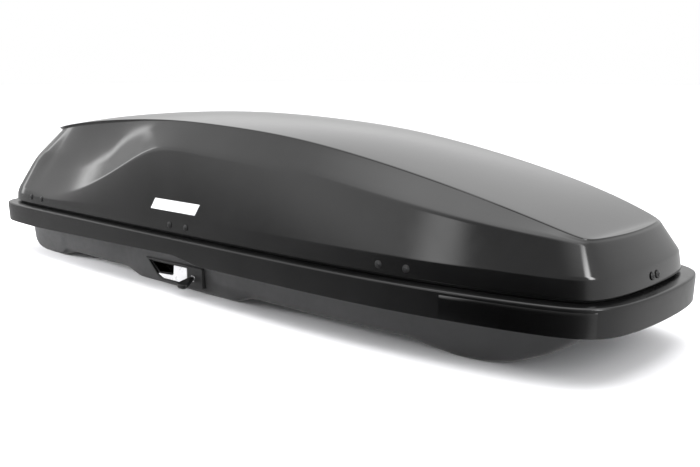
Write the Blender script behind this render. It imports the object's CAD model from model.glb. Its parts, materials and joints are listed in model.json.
"""Roof cargo box: smooth mouldings, fittings, materials, lights and camera.

Metres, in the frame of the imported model: +X is the nose, +Y the hinge side, +Z up.
"""

import json
import math

import bmesh
import bpy
import numpy as np
from mathutils import Matrix, Vector


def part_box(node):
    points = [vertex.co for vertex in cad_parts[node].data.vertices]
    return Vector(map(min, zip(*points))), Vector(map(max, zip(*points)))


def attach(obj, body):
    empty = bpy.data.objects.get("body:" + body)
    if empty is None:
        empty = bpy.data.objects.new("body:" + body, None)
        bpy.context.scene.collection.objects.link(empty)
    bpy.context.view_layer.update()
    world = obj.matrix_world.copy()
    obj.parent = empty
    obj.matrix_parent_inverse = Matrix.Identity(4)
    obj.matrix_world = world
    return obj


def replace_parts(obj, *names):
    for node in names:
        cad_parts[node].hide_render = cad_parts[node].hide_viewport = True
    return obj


# ---------------------------------------------------------------- overall shape
# Plan and height of each shape line, from the middle of the nose round one side to the
# middle of the tail: (x, half width) or (x, half width, z). Cubic splines run through them.
SEAM = (
    (0.979, 0), (0.976, 0.078), (0.968, 0.145), (0.949, 0.197), (0.883, 0.222),
    (0.766, 0.248), (0.541, 0.282), (0.241, 0.287), (-0.039, 0.287), (-0.199, 0.287),
    (-0.379, 0.286), (-0.639, 0.283), (-0.839, 0.279), (-0.947, 0.268), (-0.973, 0.215),
    (-0.977, 0.100), (-0.979, 0),
)
SKIRT_TOP = (
    (0.973, 0, 0.190), (0.970, 0.076, 0.190), (0.962, 0.143, 0.190), (0.944, 0.193, 0.190),
    (0.881, 0.219, 0.190), (0.766, 0.247, 0.190), (0.541, 0.281, 0.190),
    (0.241, 0.285, 0.190), (-0.039, 0.285, 0.190), (-0.199, 0.285, 0.190),
    (-0.379, 0.284, 0.186), (-0.639, 0.281, 0.176), (-0.834, 0.277, 0.172),
    (-0.947, 0.267, 0.172), (-0.973, 0.213, 0.172), (-0.977, 0.100, 0.172),
    (-0.979, 0, 0.172),
)
SHOULDER = (
    (0.938, 0, 0.240), (0.935, 0.074, 0.2405), (0.927, 0.130, 0.242), (0.918, 0.158, 0.2435),
    (0.881, 0.182, 0.2545), (0.766, 0.224, 0.2645), (0.541, 0.248, 0.294),
    (0.241, 0.252, 0.336), (-0.039, 0.252, 0.350), (-0.204, 0.252, 0.360),
    (-0.334, 0.257, 0.305), (-0.599, 0.274, 0.187), (-0.824, 0.273, 0.187),
    (-0.942, 0.264, 0.188), (-0.968, 0.210, 0.190), (-0.973, 0.100, 0.192),
    (-0.975, 0, 0.193),
)
TOP_EDGE = (
    (0.932, 0, 0.2465), (0.929, 0.070, 0.247), (0.922, 0.125, 0.2485), (0.913, 0.152, 0.2495),
    (0.883, 0.163, 0.2595), (0.766, 0.184, 0.297), (0.541, 0.194, 0.349),
    (0.241, 0.200, 0.399), (-0.039, 0.204, 0.4145), (-0.199, 0.206, 0.4195),
    (-0.379, 0.206, 0.4145), (-0.579, 0.204, 0.401), (-0.719, 0.200, 0.385),
    (-0.799, 0.190, 0.372), (-0.827, 0.155, 0.369), (-0.841, 0.080, 0.371),
    (-0.846, 0, 0.372),
)
LID_SAMPLES = 12        # points per spline span
TUB_SAMPLES = 20
CAMBER = 0.013          # rise of the top panel over its edges
LID_WALL = 0.0035
LID_BOTTOM = 0.153
LIP_DROP = 0.007        # tail lip: height of its edge
LIP_INSET = 0.009       # and how far it overhangs the tail
LIP_START = -0.15
LIP_FULL = -0.55
TAIL_SWELL = 0.013
FLANK_HOLLOW = 0.007
PANEL_START = 0.12      # where the top panel ends and its rounded edge begins, share of the way in
PANEL_ROWS = 9
CREASE = {"hem": 0.0012, "skirt": 0.004, "shoulder": 0.007, "haunch": 0.030, "under": 0.0015,
          "edge": 0.004}  # how far each crease is rounded back

SHELF_Z = 0.147
BASE_WALL = 0.004
FLANGE_OUT = 0.028
FLANGE_BOTTOM = 0.092
FLANGE_RAISED = 0.106
FLANGE_LIFT_START = -0.760
FLANGE_LIFT_END = -0.074
FLANGE_STEP_END = 0.025
TUB_TOP_INSET = 0.036
TUB_LOW_INSET = 0.046
TUB_EDGE_RADIUS = 0.012
TUB_STEPS = 5           # rows that round each crease of the tub, less one
SATIN_CREASES = 4       # creases of the flange, counted from its lower edge
FLOOR_Z = 0.018
FLOOR_LINE = (
    (-0.935, 0.055), (-0.915, 0.022), (-0.880, 0.005), (-0.840, 0.0), (-0.730, 0.0),
    (-0.700, FLOOR_Z), (-0.386, FLOOR_Z), (-0.325, 0.0), (0.065, 0.0), (0.122, FLOOR_Z),
    (0.578, FLOOR_Z), (0.630, 0.008), (0.690, 0.0), (0.740, 0.0), (0.800, 0.010),
    (0.860, 0.034), (0.900, 0.058), (0.935, 0.085),
)
SLOT_Y = 0.140
SLOT_HALF = 0.012
ZONES = ((0.350, 0.120), (-0.543, 0.080))  # middle and half length of the clamp slots
PLACES = (0.575, -0.085, -0.783)           # hinges and strikers along the box
NOTCH_HALF = 0.028      # cut-outs in the lid edge over the hinges
NOTCH_Y = (0.255, 0.300)
NOTCH_TOP = 0.160

TRIM_START = 0.690
TRIM_END = 0.9465
TRIM_Z = (0.0935, 0.139)
FACE_Y = -0.2500        # outer face of the handle unit
LOCK = (-0.0715, 0.039)  # lock axis, x and z
LOCK_HOLE = 0.0082      # radius of the hole for it in the tub side
LOCK_HOLE_DEPTH = 0.037
# hole in the tub side behind the handle unit: x, z
WALL_OPENING = ((-0.2665, 0.0600), (-0.0998, 0.0600), (-0.0998, 0.0172), (-0.2130, 0.0172))
RIVET_RADIUS = 0.008
BADGE_LENGTH = 0.190    # plain bar on the lid side
BADGE_HALF = 0.013
BADGE_SLANT = 0.014

# ---------------------------------------------------------------- camera and light
CAMERA_AT = (1.608, -1.521, 0.538)
CAMERA_TURN = math.radians(42.45)
CAMERA_DOWN = math.radians(10.607)
CAMERA_LENS = 44.54

# Studio walls: (degrees round from +X, brightness) at eye level and below the horizon.
WALLS = ((-180, 1.10), (-152, 1.05), (-128, 1.15), (-110, 0.75), (-90, 0.42), (-45, 0.55),
         (-10, 0.95), (60, 0.80), (120, 1.12), (180, 1.10))
GROUND = ((-180, 0.55), (-152, 0.45), (-136, 0.34), (-118, 0.16), (-102, 0.01), (-80, 0.03),
          (-45, 0.25), (-5, 0.85), (60, 0.80), (180, 0.55))
HORIZON = (4, 16)       # degrees up over which the ground gives way to the walls
CEILING = (46, 66)      # and the walls to the ceiling
CEILING_LIGHT = 2.4
PANELS = (              # soft boxes: degrees round, degrees up, edge softness, brightness
    ((-20, -2), (20, 52), 5, 10.0),
    ((-114, -106), (6, 30), 3, 1.8),
    ((-168, -164), (3, 24), 1.5, 2.2),
)
LAMPS = (               # name, place, target, size, watts
    ("overhead", (0, 0.2, 3.0), (0, 0, 0.2), (4.5, 3.5), 95),
    ("rear_soft", (-2.6, -0.75, 0.25), (-0.9, -0.2, 0.08), (0.7, 0.4), 190),
)

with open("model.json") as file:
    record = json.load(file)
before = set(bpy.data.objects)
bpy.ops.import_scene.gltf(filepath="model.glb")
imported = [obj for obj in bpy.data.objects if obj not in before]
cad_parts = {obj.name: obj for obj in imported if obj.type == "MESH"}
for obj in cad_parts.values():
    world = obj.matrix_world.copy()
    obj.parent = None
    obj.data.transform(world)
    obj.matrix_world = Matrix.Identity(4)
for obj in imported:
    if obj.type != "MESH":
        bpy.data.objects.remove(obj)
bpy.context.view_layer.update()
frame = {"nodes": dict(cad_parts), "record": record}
NODES = frame["nodes"]
BODY_OF = {node: body for body, nodes in frame["record"]["behaviour"]["bodies"].items()
           for node in nodes}


# ---------------------------------------------------------------- materials
def new_material(name):
    """An empty node material: its tree, its shader and its object coordinates."""
    mat = bpy.data.materials.new(name)
    mat.use_nodes = True
    tree = mat.node_tree
    coords = tree.nodes.new("ShaderNodeTexCoord").outputs["Object"]
    return mat, tree, tree.nodes["Principled BSDF"], coords


def noise(tree, coords, scale, detail=4, stretch=None):
    """Noise in object space, optionally stretched along an axis."""
    node = tree.nodes.new("ShaderNodeTexNoise")
    node.inputs["Scale"].default_value = scale
    node.inputs["Detail"].default_value = detail
    if stretch:
        mapping = tree.nodes.new("ShaderNodeMapping")
        mapping.inputs["Scale"].default_value = stretch
        tree.links.new(coords, mapping.inputs["Vector"])
        coords = mapping.outputs["Vector"]
    tree.links.new(coords, node.inputs["Vector"])
    return node.outputs["Fac"]


def spread(tree, source, low, high):
    """Map a 0.3 to 0.7 noise on to a range."""
    node = tree.nodes.new("ShaderNodeMapRange")
    node.inputs["From Min"].default_value = 0.3
    node.inputs["From Max"].default_value = 0.7
    node.inputs["To Min"].default_value = low
    node.inputs["To Max"].default_value = high
    tree.links.new(source, node.inputs["Value"])
    return node.outputs["Result"]


def grey_colour(tree, source, low, high):
    """A neutral colour that drifts between two greys."""
    ramp = tree.nodes.new("ShaderNodeValToRGB")
    ramp.color_ramp.elements[0].position = 0.3
    ramp.color_ramp.elements[1].position = 0.7
    ramp.color_ramp.elements[0].color = (low, low, low * 1.02, 1)
    ramp.color_ramp.elements[1].color = (high, high, high * 1.02, 1)
    tree.links.new(source, ramp.inputs["Fac"])
    return ramp.outputs["Color"]


def bump(tree, shader, source, depth):
    """Relief of a real depth in metres."""
    node = tree.nodes.new("ShaderNodeBump")
    node.inputs["Strength"].default_value = 1
    node.inputs["Distance"].default_value = depth
    tree.links.new(source, node.inputs["Height"])
    tree.links.new(node.outputs["Normal"], shader.inputs["Normal"])


def worn_surface(name, greys, roughs, metal, relief_scale, relief, drift=9, coat=0, stretch=None):
    """A surface whose grey and roughness drift, with a fine relief."""
    mat, tree, shader, coords = new_material(name)
    slow = noise(tree, coords, drift)
    tree.links.new(grey_colour(tree, slow, *greys), shader.inputs["Base Color"])
    patches = noise(tree, coords, drift * 4, 6, stretch)
    tree.links.new(spread(tree, patches, *roughs), shader.inputs["Roughness"])
    shader.inputs["Metallic"].default_value = metal
    shader.inputs["Coat Weight"].default_value = coat
    shader.inputs["Coat Roughness"].default_value = 0.06
    bump(tree, shader, noise(tree, coords, relief_scale, 3, stretch), relief)
    return mat


def grained_surface(name, greys, roughs, cell, relief):
    """Moulded plastic with a pebbled grain."""
    mat, tree, shader, coords = new_material(name)
    tree.links.new(grey_colour(tree, noise(tree, coords, 7), *greys), shader.inputs["Base Color"])
    tree.links.new(spread(tree, noise(tree, coords, 60, 6), *roughs), shader.inputs["Roughness"])
    grain = tree.nodes.new("ShaderNodeTexVoronoi")
    grain.feature = "SMOOTH_F1"
    grain.inputs["Scale"].default_value = 1 / cell
    tree.links.new(coords, grain.inputs["Vector"])
    bump(tree, shader, grain.outputs["Distance"], relief)
    return mat


def make_materials():
    """Every finish on the box, by the record's material slot."""
    brushed = (1, 12, 12)
    return {
        "lid_gloss": worn_surface("lid_gloss", (0.003, 0.006), (0.09, 0.14), 0, 420, 0.000005,
                                  coat=0.3),
        "tub_matte": grained_surface("tub_matte", (0.044, 0.056), (0.50, 0.62), 0.0012, 0.00006),
        "flange_satin": worn_surface("flange_satin", (0.003, 0.006), (0.20, 0.26), 0, 700,
                                     0.000002),
        "trim_gloss": worn_surface("trim_gloss", (0.0015, 0.003), (0.04, 0.08), 0, 300, 0.000002,
                                   coat=0.5),
        "rubber": worn_surface("rubber", (0.008, 0.014), (0.75, 0.9), 0, 1500, 0.00004),
        "steel": worn_surface("steel", (0.36, 0.46), (0.28, 0.42), 1, 300, 0.00001,
                              stretch=brushed),
        "zinc_bar": worn_surface("zinc_bar", (0.44, 0.54), (0.24, 0.36), 1, 300, 0.00001,
                                 stretch=brushed),
        "rivet_dark": worn_surface("rivet_dark", (0.020, 0.034), (0.28, 0.40), 0.3, 2500,
                                   0.00001, 200),
        "handle_silver": worn_surface("handle_silver", (0.76, 0.84), (0.26, 0.34), 0.15, 900,
                                      0.00001),
        "bezel_dark": grained_surface("bezel_dark", (0.022, 0.030), (0.42, 0.52), 0.0006,
                                      0.00002),
        "nickel": worn_surface("nickel", (0.82, 0.90), (0.12, 0.20), 1, 1800, 0.000004, 120),
        "key_black": worn_surface("key_black", (0.008, 0.013), (0.32, 0.42), 0, 1600, 0.00002,
                                  120),
        "aluminium": worn_surface("aluminium", (0.54, 0.64), (0.32, 0.46), 1, 300, 0.00001,
                                  stretch=brushed),
        "badge_white": worn_surface("badge_white", (0.76, 0.82), (0.30, 0.38), 0, 1200,
                                    0.000006),
    }


# ---------------------------------------------------------------- mesh helpers
def finish_piece(name, bm, slots, body, smooth_angle=35):
    """Turn a bmesh into a piece with smooth shading, riding on a body."""
    bmesh.ops.remove_doubles(bm, verts=bm.verts, dist=0.00002)
    bmesh.ops.recalc_face_normals(bm, faces=bm.faces)
    mesh = bpy.data.meshes.new(name)
    bm.to_mesh(mesh)
    bm.free()
    for slot in slots:
        mesh.materials.append(LOOKS[slot])
    mesh.shade_smooth()
    mesh.set_sharp_from_angle(angle=math.radians(smooth_angle))
    obj = bpy.data.objects.new(name, mesh)
    bpy.context.scene.collection.objects.link(obj)
    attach(obj, body)
    return obj


def block(bm, low, high):
    """Add an axis-aligned box between two corners."""
    low, high = Vector(low), Vector(high)
    size = high - low
    place = Matrix.Translation((low + high) / 2) @ Matrix.Diagonal((*size, 1))
    bmesh.ops.create_cube(bm, size=1, matrix=place)


def prism(bm, outline, y_low, y_high):
    """Add an (x, z) outline carried across the box between two depths."""
    near = [bm.verts.new((x, y_low, z)) for x, z in outline]
    far = [bm.verts.new((x, y_high, z)) for x, z in outline]
    bm.faces.new(near)
    bm.faces.new(far[::-1])
    stitch(bm, near, far)
    bmesh.ops.recalc_face_normals(bm, faces=bm.faces)


def cut(obj, fill):
    """Take the shapes that fill(bm) adds away from a piece, and keep the result."""
    bm = bmesh.new()
    fill(bm)
    mesh = bpy.data.meshes.new(obj.name + "_tool")
    bm.to_mesh(mesh)
    bm.free()
    tool = bpy.data.objects.new(obj.name + "_tool", mesh)
    bpy.context.scene.collection.objects.link(tool)
    mod = obj.modifiers.new("cut", "BOOLEAN")
    mod.object = tool
    mod.operation = "DIFFERENCE"
    mod.solver = "EXACT"
    bpy.context.view_layer.objects.active = obj
    bpy.ops.object.modifier_apply(modifier=mod.name)
    bpy.data.objects.remove(tool)


def stitch(bm, upper, lower, index=0):
    """Faces between two closed rows of vertices."""
    count = len(upper)
    for i in range(count):
        j = (i + 1) % count
        bm.faces.new((upper[i], upper[j], lower[j], lower[i])).material_index = index


def row_verts(bm, row):
    """Vertices of one row."""
    return [bm.verts.new(p) for p in row]


def closed_row(row, height=None):
    """Control points all the way round, mirrored onto the other side."""
    right = [(p[0], -p[1], p[2] if height is None else height) for p in row]
    left = [(x, -y, z) for x, y, z in right[-2:0:-1]]
    return np.array(right + left)


def spline(points, samples):
    """Closed uniform cubic B-spline, the same number of points in every span."""
    t = (np.arange(samples) / samples)[:, None]
    weights = ((1 - t) ** 3, 3 * t**3 - 6 * t**2 + 4, -3 * t**3 + 3 * t**2 + 3 * t + 1, t**3)
    spans = []
    for k in range(len(points)):
        knots = [points[(k + step) % len(points)] for step in (-1, 0, 1, 2)]
        spans.append(sum(w * knot for w, knot in zip(weights, knots)) / 6)
    return np.vstack(spans)


def outward(row):
    """Plan normals of a closed row, pointing out of the box."""
    along = np.roll(row, -1, axis=0) - np.roll(row, 1, axis=0)
    normal = np.stack([along[:, 1], -along[:, 0], 0 * along[:, 0]], axis=1)
    normal /= np.linalg.norm(normal, axis=1)[:, None]
    if (normal * row).sum() < 0:
        normal = -normal
    return normal


def moved(row, out, height=None):
    """A row moved outwards in plan, at a height or at f(x, y)."""
    new = row + outward(row) * out
    if callable(height):
        new[:, 2] = [height(x, y) for x, y, _ in new]
    elif height is not None:
        new[:, 2] = height
    return new


def smooth_step(value, start, end):
    """0 before start, 1 after end, smooth between."""
    t = min(max((value - start) / (end - start), 0), 1)
    return t * t * (3 - 2 * t)


def rounded(rows, radii, steps=4):
    """Replace each inner row of a profile by a short curve, radius metres either way."""
    out = [rows[0]]
    for before, here, after, radius in zip(rows, rows[1:], rows[2:], radii):
        start = toward(here, before, radius)
        end = toward(here, after, radius)
        for k in range(steps + 1):
            t = k / steps
            out.append((1 - t) ** 2 * start + 2 * t * (1 - t) * here + t * t * end)
    out.append(rows[-1])
    return out


def toward(here, there, distance):
    """Points at a distance from here towards there, at most 45 percent of the way."""
    gap = np.linalg.norm(there - here, axis=1)[:, None]
    return here + (there - here) * np.minimum(distance / np.maximum(gap, 1e-9), 0.45)


# ---------------------------------------------------------------- lid
def top_rise(x, side_share, edge_z):
    """Height of the cambered top panel: side_share is 1 at the edge, 0 in the middle."""
    fade = smooth_step(-x, -0.93, -0.30) * smooth_step(x, -0.87, -0.60)
    return edge_z + CAMBER * fade * (1 - side_share**2)


def haunch_swell(x):
    """Bulge half way up the flank: full at the tail, hollow ahead of it."""
    tail = smooth_step(-x, 0.76, 0.86)
    hollow = smooth_step(-x, 0.28, 0.45) * (1 - smooth_step(-x, 0.62, 0.78))
    return TAIL_SWELL * tail - FLANK_HOLLOW * hollow


def lid_rows():
    """Crease rows of the lid from its lower edge to the edge of the top panel."""
    seam = spline(closed_row(SEAM, LID_BOTTOM), LID_SAMPLES)
    skirt = spline(closed_row(SKIRT_TOP), LID_SAMPLES)
    shoulder = spline(closed_row(SHOULDER), LID_SAMPLES)
    edge = spline(closed_row(TOP_EDGE), LID_SAMPLES)
    plan_out = outward(edge)
    under = edge.copy()
    for i, (x, _, _) in enumerate(edge):
        share = smooth_step(-x, -LIP_START, -LIP_FULL)
        under[i] -= plan_out[i] * LIP_INSET * share
        under[i, 2] -= 0.002 + (LIP_DROP - 0.002) * share
    haunch = (shoulder + under) / 2
    for i, (x, _, _) in enumerate(haunch):
        swell = haunch_swell(x)
        haunch[i] += plan_out[i] * swell * 0.8
        haunch[i, 2] += swell * 0.6
    return [seam, skirt, shoulder, haunch, under, edge]


def panel_row(edge, share, drop=0.0):
    """The edge row drawn in to the centre line by a share."""
    row = edge.copy()
    row[:, 1] *= 1 - share
    row[:, 2] = [top_rise(x, 1 - share, z) - drop for x, _, z in edge]
    return row


def lid_skin():
    """The lid as one smooth thin moulding with rounded creases."""
    rows = lid_rows()
    edge = rows[-1]
    hem = moved(rows[0], -LID_WALL)
    first = panel_row(edge, PANEL_START)
    shares = np.linspace(PANEL_START, 1, PANEL_ROWS)[1:]
    radii = [CREASE[k] for k in ("hem", "skirt", "shoulder", "haunch", "under", "edge")]
    outer = rounded([hem] + rows + [first], radii)
    outer += [panel_row(edge, share) for share in shares]
    inner_edge = moved(edge, -LID_WALL - LIP_INSET)
    inner_edge[:, 2] -= LID_WALL + 0.0015
    inner = [hem] + [moved(row, -LID_WALL) for row in rows[1:4]] + [inner_edge]
    inner[2][:, 2] -= 0.0015
    inner[3][:, 2] -= 0.0020
    inner.append(panel_row(inner_edge, PANEL_START))
    inner = rounded(inner, [0.004, 0.007, 0.030, 0.006])
    inner += [panel_row(inner_edge, share) for share in shares]
    bm = bmesh.new()
    for chain in (outer, inner):
        verts = [row_verts(bm, row) for row in chain]
        for one, two in zip(verts, verts[1:]):
            stitch(bm, one, two)
    lid = finish_piece("lid_skin", bm, ["lid_gloss"], "lid", 50)

    def notches(bm):
        for x in PLACES:
            block(bm, (x - NOTCH_HALF, NOTCH_Y[0], LID_BOTTOM - 0.01),
                  (x + NOTCH_HALF, NOTCH_Y[1], NOTCH_TOP))

    cut(lid, notches)
    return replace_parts(lid, "lid_shell")


# ---------------------------------------------------------------- tub
def floor_height(x, _=0):
    """Underside of the floor, its ramps a little rounded where they meet."""
    line_x, line_z = zip(*FLOOR_LINE)
    spots = x + np.linspace(-0.010, 0.010, 5)
    return float(np.interp(spots, line_x, line_z).mean())


def flange_edge(x, y):
    """Lower edge of the flange, lifted over the handle on the right side."""
    if y > -0.2:
        return FLANGE_BOTTOM
    if x > FLANGE_LIFT_END:
        down = (x - FLANGE_LIFT_END) / (FLANGE_STEP_END - FLANGE_LIFT_END)
        return FLANGE_RAISED + (FLANGE_BOTTOM - FLANGE_RAISED) * min(down, 1)
    up = (x - FLANGE_LIFT_START) / (FLANGE_LIFT_END - FLANGE_LIFT_START)
    return FLANGE_BOTTOM + (FLANGE_RAISED - FLANGE_BOTTOM) * max(up, 0)


def base_skin():
    """The tub and its flange as one smooth thin moulding."""
    seam = spline(closed_row(SEAM, SHELF_Z), TUB_SAMPLES)
    wall = BASE_WALL
    outer = [
        moved(seam, FLANGE_OUT - 0.002 - wall, flange_edge),
        moved(seam, FLANGE_OUT - 0.002, flange_edge),
        moved(seam, FLANGE_OUT, 0.138),
        moved(seam, FLANGE_OUT - 0.0005, SHELF_Z),
        moved(seam, -TUB_TOP_INSET, SHELF_Z),
        moved(seam, -TUB_LOW_INSET - wall, lambda x, y: floor_height(x) + wall),
        moved(seam, -0.085, lambda x, y: floor_height(x) + wall),
    ]
    outer = rounded(outer, [0.0010, 0.004, 0.0075, 0.004, TUB_EDGE_RADIUS], TUB_STEPS)
    under = [
        outer[0],
        moved(seam, FLANGE_OUT - wall, 0.138),
        moved(seam, FLANGE_OUT - wall - 0.003, SHELF_Z - wall),
        moved(seam, -TUB_TOP_INSET, SHELF_Z - wall),
        moved(seam, -TUB_LOW_INSET, floor_height),
        moved(seam, -0.085, floor_height),
    ]
    under = rounded(under, [0.004, 0.003, 0.006, TUB_EDGE_RADIUS], TUB_STEPS)
    bm = bmesh.new()
    for chain, satin in ((outer, SATIN_CREASES * (TUB_STEPS + 1)), (under, 0)):
        verts = [row_verts(bm, row) for row in chain]
        for k, (one, two) in enumerate(zip(verts, verts[1:])):
            stitch(bm, one, two, 1 if k < satin else 0)
        last, edge = verts[-1], chain[-1]
        for share in (0.3, 0.65, 1.0):
            row = edge.copy()
            row[:, 1] *= 1 - share
            new = row_verts(bm, row)
            stitch(bm, last, new)
            last = new
    base = finish_piece("base_skin", bm, ["tub_matte", "flange_satin"], "tub", 50)

    def holes(bm):
        prism(bm, WALL_OPENING, -0.262, -0.225)
        bmesh.ops.create_cone(
            bm, cap_ends=True, segments=32, radius1=LOCK_HOLE, radius2=LOCK_HOLE, depth=LOCK_HOLE_DEPTH,
            matrix=Matrix.Translation((LOCK[0], -0.2435, LOCK[1]))
            @ Matrix.Rotation(math.pi / 2, 4, "X"))
        for x, half in ZONES:
            for y in (-SLOT_Y, SLOT_Y):
                block(bm, (x - half, y - SLOT_HALF, 0.010), (x + half, y + SLOT_HALF, 0.030))

    cut(base, holes)
    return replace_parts(base, "base_shell")


def nose_trim(side, name):
    """Gloss inlay round one nose corner of the flange, with rounded long edges."""
    seam = spline(closed_row(SEAM, SHELF_Z), 24)
    keep = [i for i, p in enumerate(seam) if p[1] * side > 0 and TRIM_START < p[0] < TRIM_END]
    low, high = TRIM_Z
    profile = ((0.0005, low), (0.0015, low), (0.0020, low + 0.001), (0.0020, high - 0.001),
               (0.0015, high), (0.0005, high))
    bands = [moved(seam, FLANGE_OUT + out, z) for out, z in profile]
    bm = bmesh.new()
    rings = [[bm.verts.new(band[i]) for band in bands] for i in keep]
    for one, two in zip(rings, rings[1:]):
        stitch(bm, one, two)
    bm.faces.new(rings[0])
    bm.faces.new(rings[-1][::-1])
    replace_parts(finish_piece(name + "_skin", bm, ["trim_gloss"], "tub", 40), name)


# ---------------------------------------------------------------- small pieces
def rivet(name):
    """Domed washer with a dimpled middle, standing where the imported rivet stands."""
    points = np.array([v.co for v in NODES[name].data.vertices])
    centre, direction = washer_place(points)
    profile = ((0.0, 0.0026), (0.0012, 0.0026), (0.0020, 0.0035), (0.0033, 0.0032),
               (0.0039, 0.0023), (0.0056, 0.0021), (0.0072, 0.0016), (RIVET_RADIUS, 0.0009),
               (RIVET_RADIUS, 0.0004), (0.0022, 0.0004), (0.0022, -0.0090))
    lathe(name + "_head", name, profile, centre, direction, "rivet_dark", 40)


def washer_place(points):
    """Centre and outward direction of a packed rivet, from its widest ring."""
    middle = points.mean(axis=0)
    _, _, axes = np.linalg.svd(points - middle)
    side = 1 if middle[1] > 0 else -1
    guess = np.array((1, 0, 0)) if middle[0] > 0.9 else np.array((0, side, 0))
    axis = max(axes, key=lambda a: abs(a @ guess))
    axis = axis * np.sign(axis @ guess)
    along = (points - middle) @ axis
    return Vector(middle + axis * (along.max() - 0.0035)), Vector(axis)


def lathe(name, node, profile, centre, direction, slot, segments):
    """Turned piece about an axis, from a (radius, height) profile."""
    turn = Vector((0, 0, 1)).rotation_difference(Vector(direction)).to_matrix()
    bm = bmesh.new()
    rings = []
    for radius, height in profile:
        ring = []
        for i in range(segments):
            angle = 2 * math.pi * i / segments
            local = Vector((radius * math.cos(angle), radius * math.sin(angle), height))
            ring.append(bm.verts.new(Vector(centre) + turn @ local))
        rings.append(ring)
    for one, two in zip(rings, rings[1:]):
        stitch(bm, one, two)
    bm.faces.new(rings[-1])
    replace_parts(finish_piece(name, bm, [slot], BODY_OF[node], 40), node)


def bevelled(node, slot, width, segments=3):
    """A packed fitting with its flat faces cleaned up and its edges rounded."""
    bm = bmesh.new()
    bm.from_mesh(NODES[node].data)
    bmesh.ops.remove_doubles(bm, verts=bm.verts, dist=0.00001)
    bmesh.ops.dissolve_limit(bm, angle_limit=math.radians(2), verts=bm.verts, edges=bm.edges)
    piece = finish_piece(node + "_finish", bm, [slot], BODY_OF[node], 30)
    mod = piece.modifiers.new("edges", "BEVEL")
    mod.width = width
    mod.segments = segments
    mod.limit_method = "ANGLE"
    mod.angle_limit = math.radians(30)
    mod.harden_normals = True
    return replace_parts(piece, node)


def side_badge(name, side):
    """Plain slanted bar lying on the lid side."""
    low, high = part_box(name)
    centre = (low + high) / 2
    skirt = spline(closed_row(SKIRT_TOP), LID_SAMPLES)
    shoulder = spline(closed_row(SHOULDER), LID_SAMPLES)
    half = len(skirt) // 2 + 1
    bm = bmesh.new()
    layers = []
    columns, levels = 17, 7
    for out in (0.0002, 0.0010):
        layer = []
        for k in range(levels):
            up = k / (levels - 1)
            z = centre.z + BADGE_HALF * (2 * up - 1)
            line = []
            for i in range(columns):
                x = centre.x - BADGE_LENGTH / 2 + BADGE_SLANT * up
                x += (BADGE_LENGTH - BADGE_SLANT) * i / (columns - 1)
                across = [np.interp(x, r[:half][::-1, 0], -r[:half][::-1, 1])
                          for r in (skirt, shoulder)]
                heights = [np.interp(x, r[:half][::-1, 0], r[:half][::-1, 2])
                           for r in (skirt, shoulder)]
                y = np.interp(z, heights, across) + out
                line.append(bm.verts.new((x, side * y, z)))
            layer.append(line)
        layers.append(layer)
    for layer in layers:
        for one, two in zip(layer, layer[1:]):
            for i in range(columns - 1):
                bm.faces.new((one[i], one[i + 1], two[i + 1], two[i]))
    rims = [layer[0] + [line[-1] for line in layer[1:]] + layer[-1][-2::-1]
            + [line[0] for line in layer[-2:0:-1]] for layer in layers]
    stitch(bm, rims[0], rims[1])
    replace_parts(finish_piece(name + "_bar", bm, ["badge_white"], "lid"), name)


def lock_parts():
    """Collar of the lock cylinder and the key head with its softened outline."""
    x, z = LOCK
    front = FACE_Y - 0.0028
    collar = ((0.0, -front + 0.0024), (0.0046, -front + 0.0024), (0.0050, -front + 0.0046),
              (0.0072, -front + 0.0046), (0.0085, -front + 0.0034), (0.0085, -front),
              (0.0072, -front), (0.0072, 0.2172))
    lathe("lock_collar", "lock_cylinder", collar, (x, 0, z), (0, -1, 0), "nickel", 48)
    bevelled("lock_key", "key_black", 0.0026, 5)


# ---------------------------------------------------------------- stage
def area_light(name, spot, target, size, power):
    """A soft rectangular light aimed at a point."""
    data = bpy.data.lights.new(name, "AREA")
    data.shape = "RECTANGLE"
    data.size, data.size_y = size
    data.energy = power
    obj = bpy.data.objects.new(name, data)
    obj.location = spot
    aim = Vector(target) - Vector(spot)
    obj.rotation_euler = aim.to_track_quat("-Z", "Y").to_euler()
    obj.visible_glossy = False
    bpy.context.scene.collection.objects.link(obj)


def math_node(tree, operation, *values):
    """A maths node fed by sockets or plain numbers."""
    node = tree.nodes.new("ShaderNodeMath")
    node.operation = operation
    for socket, value in zip(node.inputs, values):
        if isinstance(value, (int, float)):
            socket.default_value = value
        else:
            tree.links.new(value, socket)
    return node.outputs[0]


def smooth_rise(tree, value, start, end):
    """0 before start, 1 after end, smooth between; start may be above end."""
    node = tree.nodes.new("ShaderNodeMapRange")
    node.interpolation_type = "SMOOTHSTEP"
    node.inputs["From Min"].default_value = start
    node.inputs["From Max"].default_value = end
    tree.links.new(value, node.inputs["Value"])
    return node.outputs["Result"]


def wall_light(tree, turn, stops):
    """Brightness round the studio, eased between its stops."""
    node = tree.nodes.new("ShaderNodeFloatCurve")
    curve = node.mapping.curves[0]
    node.mapping.use_clip = False
    while len(curve.points) < len(stops):
        curve.points.new(0.5, 0.5)
    for point, (degrees, level) in zip(curve.points, stops):
        point.location = ((degrees + 180) / 360, level)
    node.mapping.update()
    tree.links.new(turn, node.inputs["Value"])
    return node.outputs["Value"]


def mix_light(tree, share, low, high):
    """low where share is 0, high where it is 1."""
    rise = math_node(tree, "SUBTRACT", high, low)
    return math_node(tree, "MULTIPLY_ADD", share, rise, low)


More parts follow.
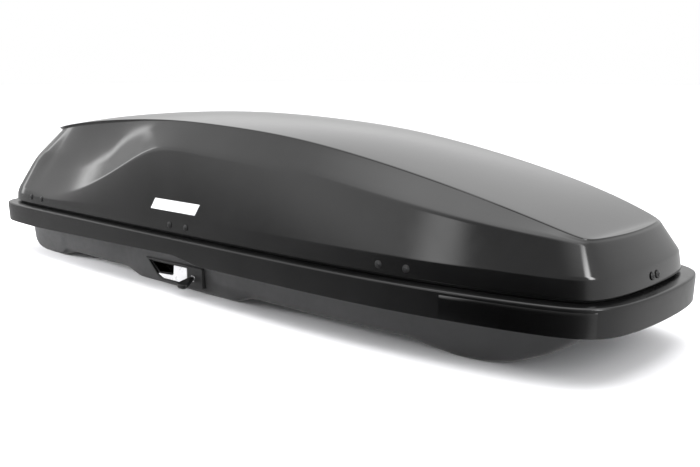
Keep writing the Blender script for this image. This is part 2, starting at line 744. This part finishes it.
def studio_world():
    """Surround that is dark low down on the right, brighter ahead, with a bright ceiling."""
    world = bpy.data.worlds.new("studio")
    bpy.context.scene.world = world
    world.use_nodes = True
    tree = world.node_tree
    split = tree.nodes.new("ShaderNodeSeparateXYZ")
    tree.links.new(tree.nodes.new("ShaderNodeTexCoord").outputs["Generated"], split.inputs[0])
    x, y, z = split.outputs
    degrees_up = math_node(tree, "DEGREES", math_node(tree, "ARCSINE", z))
    degrees_round = math_node(tree, "DEGREES", math_node(tree, "ARCTAN2", y, x))
    turn = math_node(tree, "MULTIPLY_ADD", degrees_round, 1 / 360, 0.5)
    walls = wall_light(tree, turn, WALLS)
    ground = wall_light(tree, turn, GROUND)
    light = mix_light(tree, smooth_rise(tree, degrees_up, *HORIZON), ground, walls)
    light = mix_light(tree, smooth_rise(tree, degrees_up, *CEILING), light, CEILING_LIGHT)
    for (left, right), (low, high), soft, level in PANELS:
        edges = (smooth_rise(tree, degrees_round, left - soft, left + soft),
                 smooth_rise(tree, degrees_round, right + soft, right - soft),
                 smooth_rise(tree, degrees_up, low - soft, low + soft),
                 smooth_rise(tree, degrees_up, high + soft, high - soft))
        panel = edges[0]
        for edge in edges[1:]:
            panel = math_node(tree, "MULTIPLY", panel, edge)
        light = math_node(tree, "MULTIPLY_ADD", panel, level, light)
    seen = tree.nodes.new("ShaderNodeLightPath").outputs["Is Camera Ray"]
    light = mix_light(tree, seen, light, 1.0)
    tree.links.new(light, tree.nodes["Background"].inputs["Strength"])
    tree.nodes["Background"].inputs["Color"].default_value = (1, 1, 1, 1)


def make_stage():
    """Pale floor, studio surround, two soft lights and the camera."""
    mesh = bpy.data.meshes.new("floor")
    mesh.from_pydata([(-30, -30, 0), (30, -30, 0), (30, 30, 0), (-30, 30, 0)], [], [(0, 1, 2, 3)])
    floor = bpy.data.objects.new("floor", mesh)
    floor.location.z = -0.0005
    mat, tree, shader, coords = new_material("floor_pale")
    tree.links.new(grey_colour(tree, noise(tree, coords, 0.4), 0.86, 0.88),
                   shader.inputs["Base Color"])
    shader.inputs["Roughness"].default_value = 0.9
    mesh.materials.append(mat)
    bpy.context.scene.collection.objects.link(floor)
    floor.visible_glossy = False

    studio_world()
    for lamp in LAMPS:
        area_light(*lamp)

    camera = bpy.data.cameras.new("camera")
    camera.lens = CAMERA_LENS
    camera.sensor_width = 36
    eye = bpy.data.objects.new("camera", camera)
    eye.location = CAMERA_AT
    eye.rotation_euler = (math.pi / 2 - CAMERA_DOWN, 0, CAMERA_TURN)
    bpy.context.scene.collection.objects.link(eye)
    bpy.context.scene.camera = eye
    bpy.context.scene.view_settings.view_transform = "Standard"


# ---------------------------------------------------------------- assembly
LOOKS = make_materials()


def paint_nodes():
    """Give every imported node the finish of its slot."""
    for part in frame["record"]["subparts"]:
        materials = NODES[part["node"]].data.materials
        materials.clear()
        materials.append(LOOKS[part["material_slot"]])


paint_nodes()
lid_skin()
base_skin()
for trim_side, trim_name in ((-1, "nose_trim_right"), (1, "nose_trim_left")):
    nose_trim(trim_side, trim_name)
for node_name in sorted(NODES):
    if node_name.startswith("rivet_"):
        rivet(node_name)
for badge_side, badge_name in ((-1, "side_badge_right"), (1, "side_badge_left")):
    side_badge(badge_name, badge_side)
bevelled("handle_bezel", "bezel_dark", 0.0008)
bevelled("lock_plate", "bezel_dark", 0.0005)
bevelled("pull_handle", "handle_silver", 0.0006)
bevelled("finger_pocket", "trim_gloss", 0.0006)
lock_parts()
make_stage()
